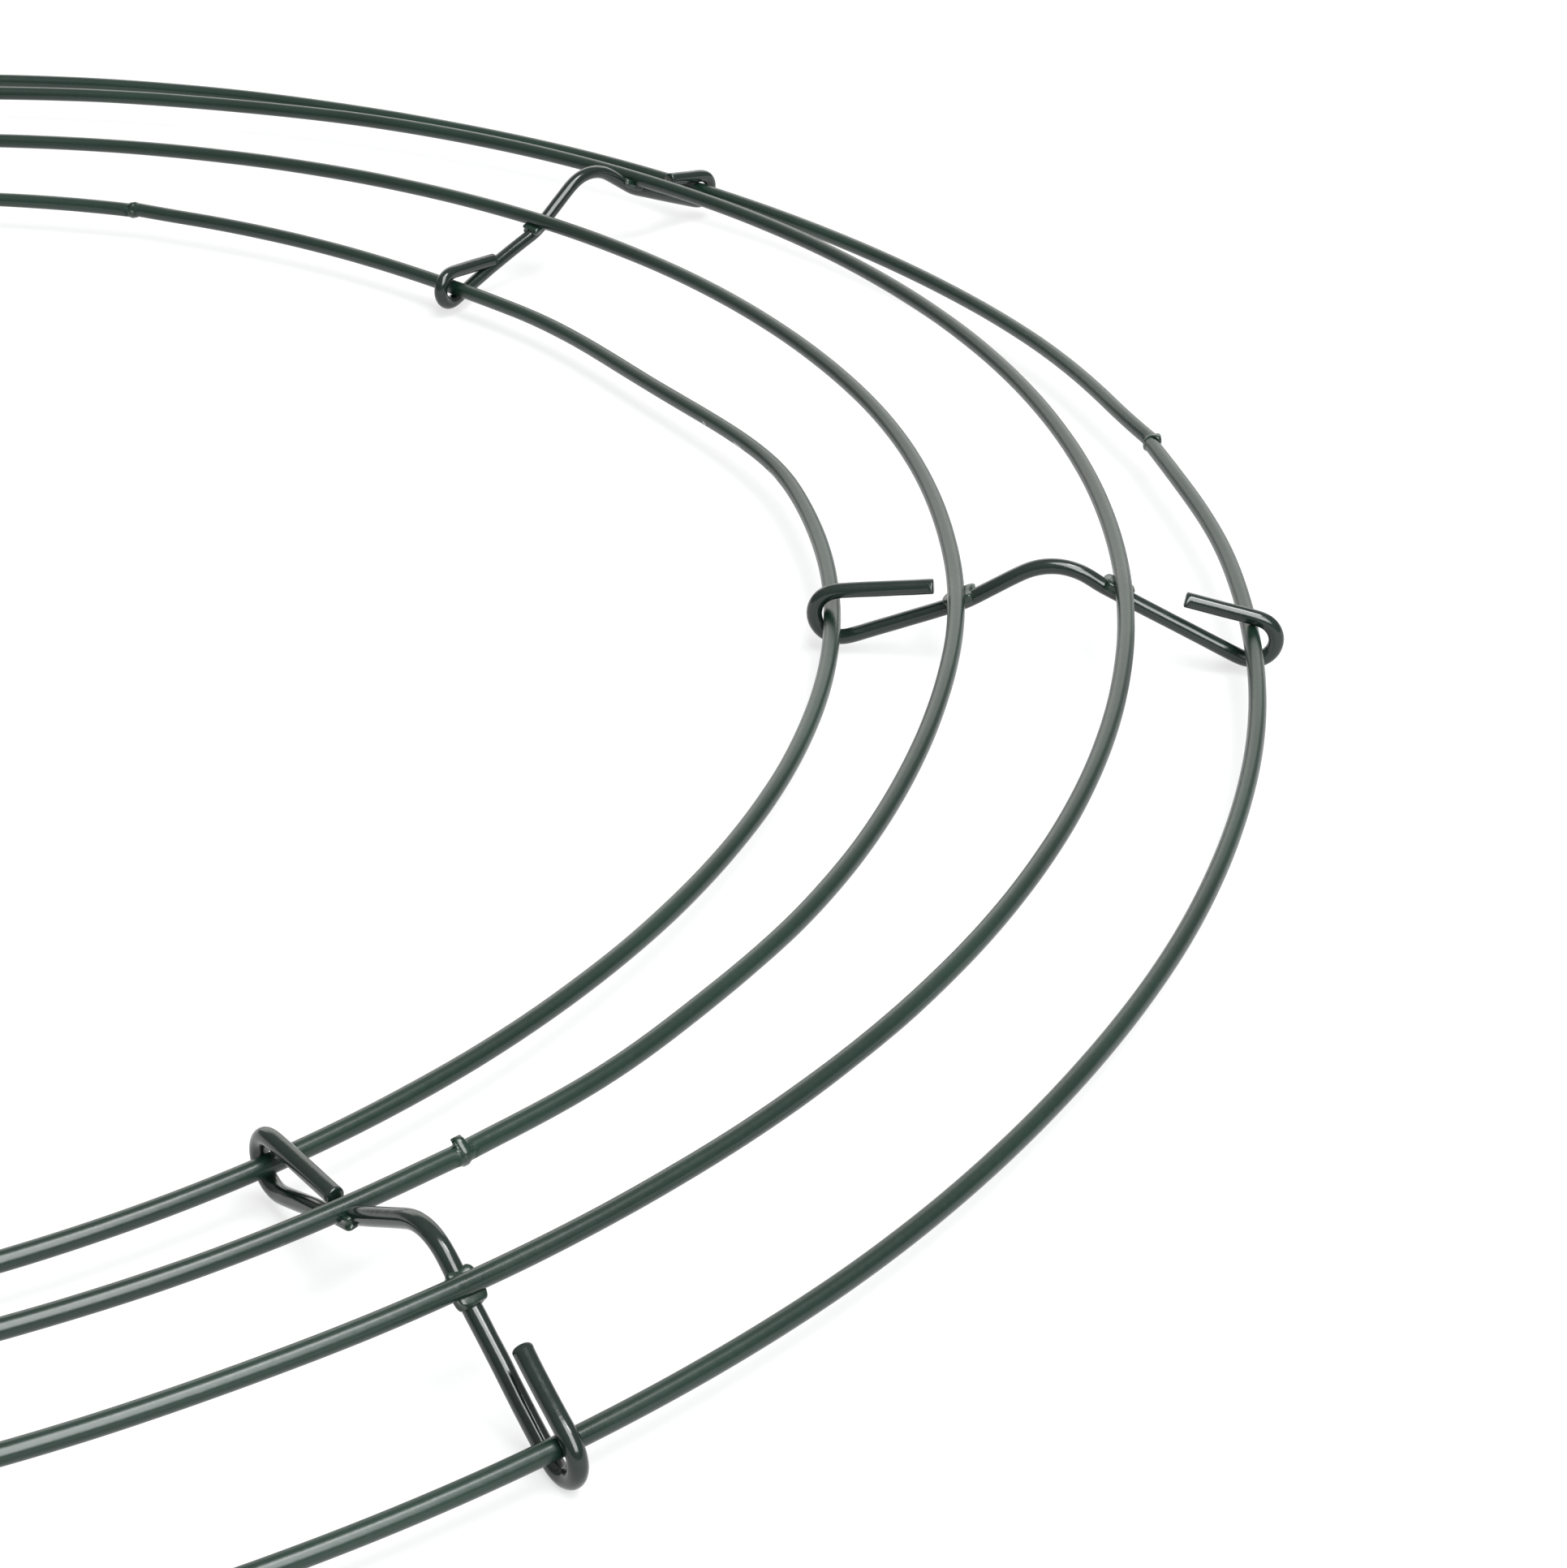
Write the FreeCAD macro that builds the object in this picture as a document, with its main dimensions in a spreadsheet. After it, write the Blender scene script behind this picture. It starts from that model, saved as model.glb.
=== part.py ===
import FreeCAD, Part

import math
import os

import Sketcher

# Wire wreath frame: four round rings of enamelled steel wire, held by seven
# bent cross wires. The frame lies flat, +Z up. The origin is on the rings'
# common axis, in the plane that the frame rests on, and +X runs along the
# first cross wire. All sizes are in millimetres.

doc = FreeCAD.newDocument("wreath_frame")
sheet = doc.addObject("Spreadsheet::Sheet", "Dimensions")
sheet.Label = "Dimensions"

DIMENSIONS = [
    # wire, enamel included
    ("ring_wire", 2.1),
    ("cross_wire", 1.9),
    # centreline radius of each ring
    ("inner_ring", 150.5),
    ("second_ring", 166.0),
    ("third_ring", 186.0),
    ("outer_ring", 202.0),
    # height of the middle rings above the inner and the outer one
    ("second_rise", 3.8),
    ("third_rise", 6.0),
    # how far a welded crossing is pressed together, and a hook bites
    ("set_down", 0.3),
    ("hook_bite", 0.1),
    # centreline radius of the hooks round the inner and outer rings
    ("inner_bend", 2.7),
    ("outer_bend", 2.6),
    # the hooks' free tails: distance of the tip from the axis, and slope
    ("inner_tail_tip", 163.5),
    ("inner_tail_slope", 5.0),
    ("outer_tail_tip", 195.0),
    ("outer_tail_slope", 16.0),
    # the arch between the middle rings
    ("arch_radius", 7.0),
    ("arch_middle", 177.6),
    ("arch_rise", 8.0),
    ("arch_slope", 36.0),
    ("foot_bend", 4.0),
    ("tip_rounding", 0.3),
    # butt weld that closes a ring: gap it fills, and its raised collar
    ("butt_gap", 0.4),
    ("butt_half_length", 0.9),
    ("butt_bulge", 0.35),
    # weld nugget at a crossing: along the cross wire, across it, and thick
    ("nugget_length", 3.7),
    ("nugget_width", 2.9),
    ("nugget_height", 1.2),
]

# Each cross wire: the direction in which it lies, and how far it is turned
# askew about the middle of the band, in degrees. They were set by hand in a
# jig with seven equal spaces, so neither is exact.
CROSS_WIRES = [
    (90.6, -3.0),
    (141.8, -4.0),
    (193.2, -1.0),
    (244.6, -3.0),
    (296.0, -1.5),
    (347.2, -6.3),
    (38.2, -5.5),
]

# Each ring with the direction in which its butt weld lies, in degrees.
RINGS = [
    ("inner_ring", "0", 62.9),
    ("second_ring", "Dimensions.second_rise", 300.7),
    ("third_ring", "Dimensions.third_rise", 170.0),
    ("outer_ring", "0", 2.9),
]

for row, (alias, value) in enumerate(DIMENSIONS, start=1):
    sheet.set("A%d" % row, alias)
    sheet.set("B%d" % row, str(value))
    sheet.setAlias("B%d" % row, alias)
doc.recompute()
size = {alias: value for alias, value in DIMENSIONS}

# The frame stands on the undersides of the outer hooks. The outer ring is
# held against the upper side of each hook, clear of the bend below it.
CONTACT = "(Dimensions.ring_wire + Dimensions.cross_wire) / 2"
OUTER_SLACK = "(Dimensions.outer_bend - %s + Dimensions.hook_bite)" % CONTACT
INNER_SLACK = "(Dimensions.inner_bend - %s + Dimensions.hook_bite)" % CONTACT
OUTER_HOOK_Z = "(Dimensions.outer_bend + Dimensions.cross_wire / 2)"
OUTER_RING_Z = "(%s + %s * cos(Dimensions.outer_tail_slope * 1deg))" % (
    OUTER_HOOK_Z,
    OUTER_SLACK,
)
OUTER_HOOK_X = "Dimensions.outer_ring - %s * sin(Dimensions.outer_tail_slope * 1deg)" % (
    OUTER_SLACK
)
INNER_HOOK_X = "Dimensions.inner_ring + %s" % INNER_SLACK
SEAT = "%s - Dimensions.set_down" % CONTACT


def rotation_about_axis(degrees):
    return FreeCAD.Rotation(FreeCAD.Vector(0, 0, 1), degrees)


def add_ring(name, rise, weld_direction):
    """One ring: a round wire bent to a circle, its two ends a hair apart."""
    ring = doc.addObject("Part::Torus", name)
    ring.Label = name
    ring.setExpression("Radius1", "Dimensions.%s * 1mm" % name)
    ring.setExpression("Radius2", "Dimensions.ring_wire / 2 * 1mm")
    gap_angle = "Dimensions.butt_gap / Dimensions.%s * 1rad" % name
    ring.setExpression("Angle3", "360deg - %s" % gap_angle)
    ring.Placement = FreeCAD.Placement(FreeCAD.Vector(), rotation_about_axis(weld_direction))
    ring.setExpression(".Placement.Base.z", "(%s + %s) * 1mm" % (OUTER_RING_Z, rise))
    ring.setExpression(
        ".Placement.Rotation.Angle", "%f deg + %s / 2" % (weld_direction, gap_angle)
    )
    return ring


def add_butt_weld(name, ring, rise, weld_direction):
    """The weld that closes a ring: it fills the gap and stands proud of the wire."""
    bead = doc.addObject("Part::Ellipsoid", name + "_bead")
    bead.setExpression("Radius1", "(Dimensions.ring_wire / 2 + Dimensions.butt_bulge) * 1mm")
    bead.setExpression("Radius2", "(Dimensions.ring_wire / 2 + Dimensions.butt_bulge) * 1mm")
    bead.setExpression("Radius3", "Dimensions.butt_half_length * 1mm")
    bead.Placement.Rotation = rotation_about_axis(weld_direction)
    direction = "cos(%f deg)" % weld_direction
    across = "sin(%f deg)" % weld_direction
    bead.setExpression(".Placement.Base.x", "Dimensions.%s * %s * 1mm" % (ring.Name, direction))
    bead.setExpression(".Placement.Base.y", "Dimensions.%s * %s * 1mm" % (ring.Name, across))
    bead.setExpression(".Placement.Base.z", "(%s + %s) * 1mm" % (OUTER_RING_Z, rise))
    weld = doc.addObject("Part::Cut", name)
    weld.Label = name
    weld.Base = bead
    weld.Tool = ring
    return weld


def tangent_slope(left, left_radius, right, right_radius):
    """Slope of the line that touches two circles from below."""
    across = right[0] - left[0]
    up = right[1] - left[1]
    spread = math.asin((left_radius - right_radius) / math.hypot(across, up))
    return math.atan2(up, across) + spread


def below(centre, radius, slope):
    """Point of a circle where a line of this slope touches its underside."""
    return (centre[0] + radius * math.sin(slope), centre[1] - radius * math.cos(slope))


def above(centre, radius, slope):
    """Point of a circle where a line of this slope touches its top."""
    return (centre[0] - radius * math.sin(slope), centre[1] + radius * math.cos(slope))


def crossing(first, first_slope, second, second_slope):
    """Where two lines meet, each given by a point and its slope."""
    a = math.tan(first_slope)
    b = math.tan(second_slope)
    x = (second[1] - first[1] + a * first[0] - b * second[0]) / (a - b)
    return (x, first[1] + a * (x - first[0]))


def cross_wire_outline():
    """The cross wire's centreline in its own upright plane: each stretch in turn."""
    contact = (size["ring_wire"] + size["cross_wire"]) / 2
    seat = contact - size["set_down"]
    outer_tail = math.radians(-size["outer_tail_slope"])
    inner_tail = math.radians(size["inner_tail_slope"])
    arch = math.radians(size["arch_slope"])
    outer_slack = size["outer_bend"] - contact + size["hook_bite"]
    inner_slack = size["inner_bend"] - contact + size["hook_bite"]
    hook_z = size["outer_bend"] + size["cross_wire"] / 2
    ring_z = hook_z + outer_slack * math.cos(outer_tail)

    inner_hook = (size["inner_ring"] + inner_slack, ring_z)
    outer_hook = (size["outer_ring"] + outer_slack * math.sin(outer_tail), hook_z)
    second = (size["second_ring"], ring_z + size["second_rise"])
    third = (size["third_ring"], ring_z + size["third_rise"])
    crown = (size["arch_middle"], ring_z + size["arch_rise"] - size["arch_radius"])

    inner_leg = tangent_slope(inner_hook, size["inner_bend"], second, seat)
    outer_leg = tangent_slope(third, seat, outer_hook, size["outer_bend"])
    inner_top = above(inner_hook, size["inner_bend"], inner_tail)
    inner_under = below(inner_hook, size["inner_bend"], inner_leg)
    outer_under = below(outer_hook, size["outer_bend"], outer_leg)
    outer_top = above(outer_hook, size["outer_bend"], outer_tail)
    rise_end = above(crown, size["arch_radius"], arch)
    fall_start = above(crown, size["arch_radius"], -arch)

    inner_corner = crossing(inner_under, inner_leg, rise_end, arch)
    outer_corner = crossing(outer_under, outer_leg, fall_start, -arch)
    inner_foot = foot(inner_corner, inner_leg, arch)
    outer_foot = foot(outer_corner, -arch, outer_leg)

    inner_tip_x = size["inner_tail_tip"]
    outer_tip_x = size["outer_tail_tip"]
    inner_tip = (inner_tip_x, inner_top[1] + math.tan(inner_tail) * (inner_tip_x - inner_top[0]))
    outer_tip = (outer_tip_x, outer_top[1] + math.tan(outer_tail) * (outer_tip_x - outer_top[0]))
    return {
        "inner_tip": inner_tip,
        "inner_hook": (inner_top, inner_hook, inner_under),
        "inner_foot": inner_foot,
        "crown": (rise_end, crown, fall_start),
        "outer_foot": outer_foot,
        "outer_hook": (outer_under, outer_hook, outer_top),
        "outer_tip": outer_tip,
        "second": second,
        "third": third,
        "seat": seat,
        "inner_leg": inner_leg,
        "outer_leg": outer_leg,
    }


def foot(corner, slope_in, slope_out):
    """A small upward bend at a corner: where it starts, its centre, where it ends."""
    radius = size["foot_bend"]
    reach = radius * math.tan((slope_out - slope_in) / 2)
    start = (corner[0] - reach * math.cos(slope_in), corner[1] - reach * math.sin(slope_in))
    end = (corner[0] + reach * math.cos(slope_out), corner[1] + reach * math.sin(slope_out))
    centre = (start[0] - radius * math.sin(slope_in), start[1] + radius * math.cos(slope_in))
    return (start, centre, end)


def in_plane(point):
    return FreeCAD.Vector(point[0], point[1], 0)


def arc_between(start, centre, end, clockwise):
    """Arc of a circle from start to end, as the sketch keeps it (anticlockwise)."""
    radius = math.hypot(start[0] - centre[0], start[1] - centre[1])
    circle = Part.Circle(in_plane(centre), FreeCAD.Vector(0, 0, 1), radius)
    first = math.atan2(start[1] - centre[1], start[0] - centre[0])
    last = math.atan2(end[1] - centre[1], end[0] - centre[0])
    if clockwise:
        first, last = last, first
    if last < first:
        last += 2 * math.pi
    return Part.ArcOfCircle(circle, first, last)


def axis_plane(body, role):
    return next(plane for plane in body.Origin.OriginFeatures if plane.Role == role)


def draw_cross_wire(body, name):
    """Sketch of the centreline: tail, hook, leg, foot, arch, foot, leg, hook, tail."""
    path = body.newObject("Sketcher::SketchObject", name + "_path")
    path.AttachmentSupport = [(axis_plane(body, "XZ_Plane"), "")]
    path.MapMode = "FlatFace"
    line = cross_wire_outline()

    # The stretches in order. An arc that the wire follows clockwise is kept
    # anticlockwise in the sketch, so its start and end points swap.
    stops = [
        line["inner_hook"] + (False,),
        line["inner_foot"] + (False,),
        line["crown"] + (True,),
        line["outer_foot"] + (False,),
        line["outer_hook"] + (False,),
    ]
    here = line["inner_tip"]
    for start, centre, end, clockwise in stops:
        path.addGeometry(Part.LineSegment(in_plane(here), in_plane(start)), False)
        path.addGeometry(arc_between(start, centre, end, clockwise), False)
        here = end
    path.addGeometry(Part.LineSegment(in_plane(here), in_plane(line["outer_tip"])), False)

    START, END, MIDDLE = 1, 2, 3
    inner_tail, inner_hook, inner_leg, inner_foot, rise = 0, 1, 2, 3, 4
    crown, fall, outer_foot, outer_leg, outer_hook, outer_tail = 5, 6, 7, 8, 9, 10
    for stretch, (start, centre, end, clockwise) in enumerate(stops):
        straight = 2 * stretch
        arc_start, arc_end = (END, START) if clockwise else (START, END)
        joints = [
            (straight, END, straight + 1, arc_start),
            (straight + 1, arc_end, straight + 2, START),
        ]
        for joint in joints:
            path.addConstraint(Sketcher.Constraint("Tangent", *joint))

    # The wire's seats under the two middle rings.
    seats = []
    for ring_centre, leg in ((line["second"], inner_leg), (line["third"], outer_leg)):
        ring_seat = Part.Circle(in_plane(ring_centre), FreeCAD.Vector(0, 0, 1), line["seat"])
        seats.append(path.addGeometry(ring_seat, True))
        path.addConstraint(Sketcher.Constraint("Tangent", seats[-1], leg))
    second, third = seats

    def bind(constraint, expression):
        index = path.addConstraint(constraint)
        path.setExpression("Constraints[%d]" % index, expression)

    def bind_centre(geometry, centre, across, up):
        bind(Sketcher.Constraint("DistanceX", -1, 1, geometry, MIDDLE, centre[0]), across)
        bind(Sketcher.Constraint("DistanceY", -1, 1, geometry, MIDDLE, centre[1]), up)

    rise_of = "(%s + Dimensions.%s) * 1mm"
    bind_centre(
        second,
        line["second"],
        "Dimensions.second_ring * 1mm",
        rise_of % (OUTER_RING_Z, "second_rise"),
    )
    bind_centre(
        third,
        line["third"],
        "Dimensions.third_ring * 1mm",
        rise_of % (OUTER_RING_Z, "third_rise"),
    )
    bind_centre(
        inner_hook,
        line["inner_hook"][1],
        "(%s) * 1mm" % INNER_HOOK_X,
        "%s * 1mm" % OUTER_RING_Z,
    )
    bind_centre(
        outer_hook,
        line["outer_hook"][1],
        "(%s) * 1mm" % OUTER_HOOK_X,
        "%s * 1mm" % OUTER_HOOK_Z,
    )
    bind_centre(
        crown,
        line["crown"][1],
        "Dimensions.arch_middle * 1mm",
        "(%s + Dimensions.arch_rise - Dimensions.arch_radius) * 1mm" % OUTER_RING_Z,
    )
    for ring_seat in seats:
        bind(Sketcher.Constraint("Radius", ring_seat, line["seat"]), "(%s) * 1mm" % SEAT)
    for bend, alias in (
        (inner_hook, "inner_bend"),
        (outer_hook, "outer_bend"),
        (crown, "arch_radius"),
        (inner_foot, "foot_bend"),
        (outer_foot, "foot_bend"),
    ):
        bind(Sketcher.Constraint("Radius", bend, size[alias]), "Dimensions.%s * 1mm" % alias)
    bind(
        Sketcher.Constraint("DistanceX", -1, 1, inner_tail, START, size["inner_tail_tip"]),
        "Dimensions.inner_tail_tip * 1mm",
    )
    bind(
        Sketcher.Constraint("DistanceX", -1, 1, outer_tail, END, size["outer_tail_tip"]),
        "Dimensions.outer_tail_tip * 1mm",
    )
    # Slopes, as the angle of each straight in the direction the wire runs.
    for straight, alias, turn, sign in (
        (inner_tail, "inner_tail_slope", 180, 1),
        (rise, "arch_slope", 0, 1),
        (fall, "arch_slope", 0, -1),
        (outer_tail, "outer_tail_slope", 180, -1),
    ):
        angle = math.radians(turn + sign * size[alias])
        bind(
            Sketcher.Constraint("Angle", straight, angle),
            "%d deg + %d * Dimensions.%s * 1deg" % (turn, sign, alias),
        )
    return path


def cross_wire_place(direction, skew):
    """Where a cross wire's own frame lies: turned to its direction, then askew."""
    middle = FreeCAD.Vector((size["inner_ring"] + size["outer_ring"]) / 2, 0, 0)
    straight = FreeCAD.Placement(FreeCAD.Vector(), rotation_about_axis(direction))
    askew = FreeCAD.Placement(FreeCAD.Vector(), rotation_about_axis(skew), middle)
    return straight.multiply(askew)


def add_cross_wire(name, place, rings):
    """One cross wire: round wire swept along its bends, seated under the rings."""
    body = doc.addObject("PartDesign::Body", name + "_wire")
    path = draw_cross_wire(body, name)
    doc.recompute()

    section = body.newObject("Sketcher::SketchObject", name + "_section")
    section.AttachmentSupport = [(path, "Edge1")]
    section.MapMode = "NormalToEdge"
    section.addGeometry(Part.Circle(FreeCAD.Vector(), FreeCAD.Vector(0, 0, 1), 1.0), False)
    section.addConstraint(Sketcher.Constraint("Coincident", 0, 3, -1, 1))
    radius = section.addConstraint(Sketcher.Constraint("Radius", 0, size["cross_wire"] / 2))
    section.setExpression("Constraints[%d]" % radius, "Dimensions.cross_wire / 2 * 1mm")

    pipe = body.newObject("PartDesign::AdditivePipe", name + "_pipe")
    pipe.Profile = section
    pipe.Spine = (path, ["Edge%d" % number for number in range(1, 12)])
    doc.recompute()

    # The sheared tips of the two tails are slightly rounded by the enamel.
    tips = []
    for number, edge in enumerate(pipe.Shape.Edges, start=1):
        beside = [face for face in pipe.Shape.Faces if has_edge(face, edge)]
        if any(isinstance(face.Surface, Part.Plane) for face in beside):
            tips.append("Edge%d" % number)
    rounding = body.newObject("PartDesign::Fillet", name + "_tips")
    rounding.Base = (pipe, tips)
    rounding.setExpression("Radius", "Dimensions.tip_rounding * 1mm")
    body.Tip = rounding
    body.Placement = place

    wire = doc.addObject("Part::Cut", name)
    wire.Label = name
    wire.Base = body
    wire.Tool = rings
    return wire


def has_edge(face, edge):
    return any(edge.isSame(other) for other in face.Edges)


def add_crossing_weld(name, ring, wire, seat_point, slope, place):
    """The weld nugget squeezed out between a ring and the cross wire under it."""
    slab = doc.addObject("Part::Box", name + "_slab")
    slab.setExpression("Length", "Dimensions.nugget_length * 1mm")
    slab.setExpression("Width", "Dimensions.nugget_width * 1mm")
    slab.setExpression("Height", "Dimensions.nugget_height * 1mm")
    tilt = FreeCAD.Rotation(FreeCAD.Vector(0, -1, 0), math.degrees(slope))
    seat = FreeCAD.Vector(seat_point[0], 0, seat_point[1])
    corner = FreeCAD.Vector(size["nugget_length"], size["nugget_width"], size["nugget_height"])
    centred = FreeCAD.Placement(corner * -0.5, FreeCAD.Rotation())
    slab.Placement = place.multiply(FreeCAD.Placement(seat, tilt)).multiply(centred)
    beside_ring = doc.addObject("Part::Cut", name + "_beside_ring")
    beside_ring.Base = slab
    beside_ring.Tool = ring
    weld = doc.addObject("Part::Cut", name)
    weld.Label = name
    weld.Base = beside_ring
    weld.Tool = wire
    return weld


OVERLAP_LIMIT = 0.001

pieces = []
rings = []
wires = []
for name, rise, weld_direction in RINGS:
    ring = add_ring(name, rise, weld_direction)
    rings.append(ring)
    pieces.append(ring)
    pieces.append(add_butt_weld(name + "_butt_weld", ring, rise, weld_direction))

ring_set = doc.addObject("Part::Compound", "ring_set")
ring_set.Links = rings

line = cross_wire_outline()
ring_radius = size["ring_wire"] / 2
for number, (direction, skew) in enumerate(CROSS_WIRES):
    place = cross_wire_place(direction, skew)
    wire = add_cross_wire("cross_wire_%d" % (number + 1), place, ring_set)
    wires.append(wire)
    pieces.append(wire)
    for ring, centre, slope in (
        (rings[1], line["second"], line["inner_leg"]),
        (rings[2], line["third"], line["outer_leg"]),
    ):
        name = "%s_weld_%d" % (ring.Name, number + 1)
        seat_point = below(centre, ring_radius, slope)
        pieces.append(add_crossing_weld(name, ring, wire, seat_point, slope, place))

doc.recompute()

for item in doc.Objects:
    if "Invalid" in item.State or "Error" in item.State:
        raise RuntimeError("%s did not build: %s" % (item.Name, item.State))
for piece in pieces:
    shape = piece.Shape
    if shape.isNull() or not shape.isValid():
        raise RuntimeError("%s has no valid shape" % piece.Label)
    if len(shape.Solids) != 1:
        raise RuntimeError("%s is %d solids" % (piece.Label, len(shape.Solids)))

for wire in wires:
    for ring in rings:
        if wire.Shape.common(ring.Shape).Volume > OVERLAP_LIMIT:
            raise RuntimeError("%s has no seat for %s" % (wire.Label, ring.Label))

os.makedirs("parts", exist_ok=True)
for piece in pieces:
    piece.Shape.exportStep("parts/%s.step" % piece.Label)
    print("%-24s %10.3f mm3" % (piece.Label, piece.Shape.Volume))
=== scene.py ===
# %% [markdown]
# # An enamelled wire wreath frame
#
# A florist's wreath frame is drawn from two sizes of steel wire. Four rings are bent on a
# former and butt-welded shut. Seven thinner cross wires are bent to a hook, a leg, an arch, a
# second leg and a second hook. The two middle rings are spot-welded on top of them, the inner
# and outer rings are held in the hooks, and the whole frame is dipped in dark green enamel.
#
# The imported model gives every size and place. It is loaded first, and stays as it is: the
# pieces made below stand for its nodes, with the unevenness and the finish of the real thing.

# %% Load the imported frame
import math

import bpy
import numpy as np
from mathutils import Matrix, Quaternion, Vector


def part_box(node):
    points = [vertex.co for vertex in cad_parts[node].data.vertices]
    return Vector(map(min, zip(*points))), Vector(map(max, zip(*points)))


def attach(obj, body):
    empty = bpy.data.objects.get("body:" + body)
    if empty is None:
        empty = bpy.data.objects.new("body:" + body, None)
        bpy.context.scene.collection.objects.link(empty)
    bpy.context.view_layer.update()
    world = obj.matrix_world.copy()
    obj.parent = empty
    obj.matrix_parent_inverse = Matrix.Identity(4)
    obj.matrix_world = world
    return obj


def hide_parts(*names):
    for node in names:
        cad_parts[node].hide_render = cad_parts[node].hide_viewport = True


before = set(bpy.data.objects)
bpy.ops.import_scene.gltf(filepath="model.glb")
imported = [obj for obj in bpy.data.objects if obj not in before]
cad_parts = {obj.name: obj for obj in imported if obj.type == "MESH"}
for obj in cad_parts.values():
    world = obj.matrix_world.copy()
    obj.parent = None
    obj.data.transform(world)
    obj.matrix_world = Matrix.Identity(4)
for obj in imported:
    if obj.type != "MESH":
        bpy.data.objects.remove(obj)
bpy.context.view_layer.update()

MM = 0.001
print("pieces in the packed frame:", len(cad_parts))

# %% [markdown]
# ## Sizes from the frame
#
# A ring lies flat, so its box says everything: the wire's diameter is the box's height, and
# the ring's radius is half the box's width, less half the wire. The cross wires' thickness is
# not in a box that simply, because they are bent and turned, so it is one of the few sizes
# that are written out here. The finish is drawn as a skin of its own, half a tenth of a
# millimetre thick, so every wire looks as plump as an enamelled one does.

# %% Measure the rings
RING_NODES = ["inner_ring", "second_ring", "third_ring", "outer_ring"]
CROSS_WIRE = 1.9 * MM
SKIN = 0.05 * MM


def measure_ring(node):
    low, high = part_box(node)
    wire = high.z - low.z
    return {
        "node": node,
        "wire": wire,
        "radius": (high.y - low.y - wire) / 2,
        "height": (high.z + low.z) / 2,
    }


rings = [measure_ring(node) for node in RING_NODES]
RING_WIRE = rings[0]["wire"]
for ring in rings:
    print(ring["node"], {key: round(ring[key] / MM, 2) for key in ("wire", "radius", "height")})

# %% [markdown]
# ## Shader maths as plain sums
#
# A finish is mostly arithmetic on patterns: this noise times that mask, one minus the wear.
# A small class wraps a node's output, so that such a sum can be written as a Python
# expression, and the Math nodes appear by themselves. Every other node comes from one
# method, `node`. It sets the node's own settings first, because some of them decide which
# sockets the node has, and then fills the sockets with values or with links.

# %% A socket that can be added and multiplied
class Signal:
    """The output of a shader node, ready for use in an expression."""

    def __init__(self, tree, socket):
        self.tree = tree
        self.socket = socket

    @classmethod
    def node(cls, tree, kind, settings=None, sockets=None, output=0):
        made = tree.nodes.new(kind)
        for name, value in (settings or {}).items():
            setattr(made, name, value)
        for name, value in (sockets or {}).items():
            if isinstance(value, Signal):
                tree.links.new(value.socket, made.inputs[name])
            else:
                made.inputs[name].default_value = value
        return cls(tree, made.outputs[output] if len(made.outputs) else None)

    def maths(self, operation, first, second):
        sockets = {0: first, 1: second}
        return Signal.node(self.tree, "ShaderNodeMath", {"operation": operation}, sockets)

    def __add__(self, other):
        return self.maths("ADD", self, other)

    __radd__ = __add__

    def __sub__(self, other):
        return self.maths("SUBTRACT", self, other)

    def __rsub__(self, other):
        return self.maths("SUBTRACT", other, self)

    def __mul__(self, other):
        return self.maths("MULTIPLY", self, other)

    __rmul__ = __mul__

    def between(self, low, high):
        """0 where the signal is under low, 1 over high, and a soft step between."""
        settings = {"interpolation_type": "SMOOTHSTEP"}
        sockets = {"Value": self, "From Min": low, "From Max": high}
        return Signal.node(self.tree, "ShaderNodeMapRange", settings, sockets)


# %% [markdown]
# ## Patterns measured in metres
#
# Every mesh here holds its vertices where they really are, so object coordinates are real
# places in metres. A noise scale of 500 then makes blotches two millimetres wide on every
# piece, whatever its size, and a pattern never repeats from one ring to the next.

# %% Patterns
def noise(tree, scale, detail=2.0, rough=0.5):
    place = Signal.node(tree, "ShaderNodeTexCoord", output="Object")
    sockets = {"Vector": place, "Scale": scale, "Detail": detail, "Roughness": rough}
    return Signal.node(tree, "ShaderNodeTexNoise", None, sockets)


def specks(tree, scale, size):
    """Round specks: 1 in the middle of each, falling to 0 at its edge."""
    place = Signal.node(tree, "ShaderNodeTexCoord", output="Object")
    cells = Signal.node(tree, "ShaderNodeTexVoronoi", None, {"Vector": place, "Scale": scale})
    return 1 - cells.between(0.0, size)


def painted(tree, name):
    """A value painted on the vertices when the piece was made."""
    return Signal.node(tree, "ShaderNodeAttribute", {"attribute_name": name}, output="Fac")


def blend(tree, factor, first, second):
    sockets = {0: factor, 6: first, 7: second}
    return Signal.node(tree, "ShaderNodeMix", {"data_type": "RGBA"}, sockets, output=2)


# %% [markdown]
# ## The enamel
#
# Stoved enamel on wire is not one green. It is thin and a little lighter where it ran off,
# deep where it pooled, and it carries fine mottling, an orange peel of about a millimetre and
# a few nibs of dust under the skin. The pooled, deeper green lies where the wires cross and
# touch, so it is also painted shade between the parts. Where a wire was sheared, welded or
# chipped, it is rubbed down to a grey-green undercoat, and in the worst places to bare steel.
# The mottling is added to the painted rub before the cut-off, so a worn place has a ragged
# edge and not a soft one.
#
# One function makes all three finishes, because they are one dip: only their depth of colour
# and their gloss differ. It stays a plain dielectric skin, with no clear coat over it.

# %% Enamel finish
def colour(red, green, blue):
    return (red, green, blue, 1.0)


UNDERCOAT = colour(0.060, 0.075, 0.066)
BARE_STEEL = colour(0.36, 0.37, 0.36)
DRIFT_SCALE, MOTTLE_SCALE, PEEL_SCALE = 28.0, 1500.0, 900.0
NIB_SCALE, NIB_SIZE = 330.0, 0.16
PEEL_DEPTH, PEEL_STRENGTH = 0.05 * MM, 0.35
WEAR_EDGE = (0.1, 0.3)
ENAMEL_IOR = 1.52


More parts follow.
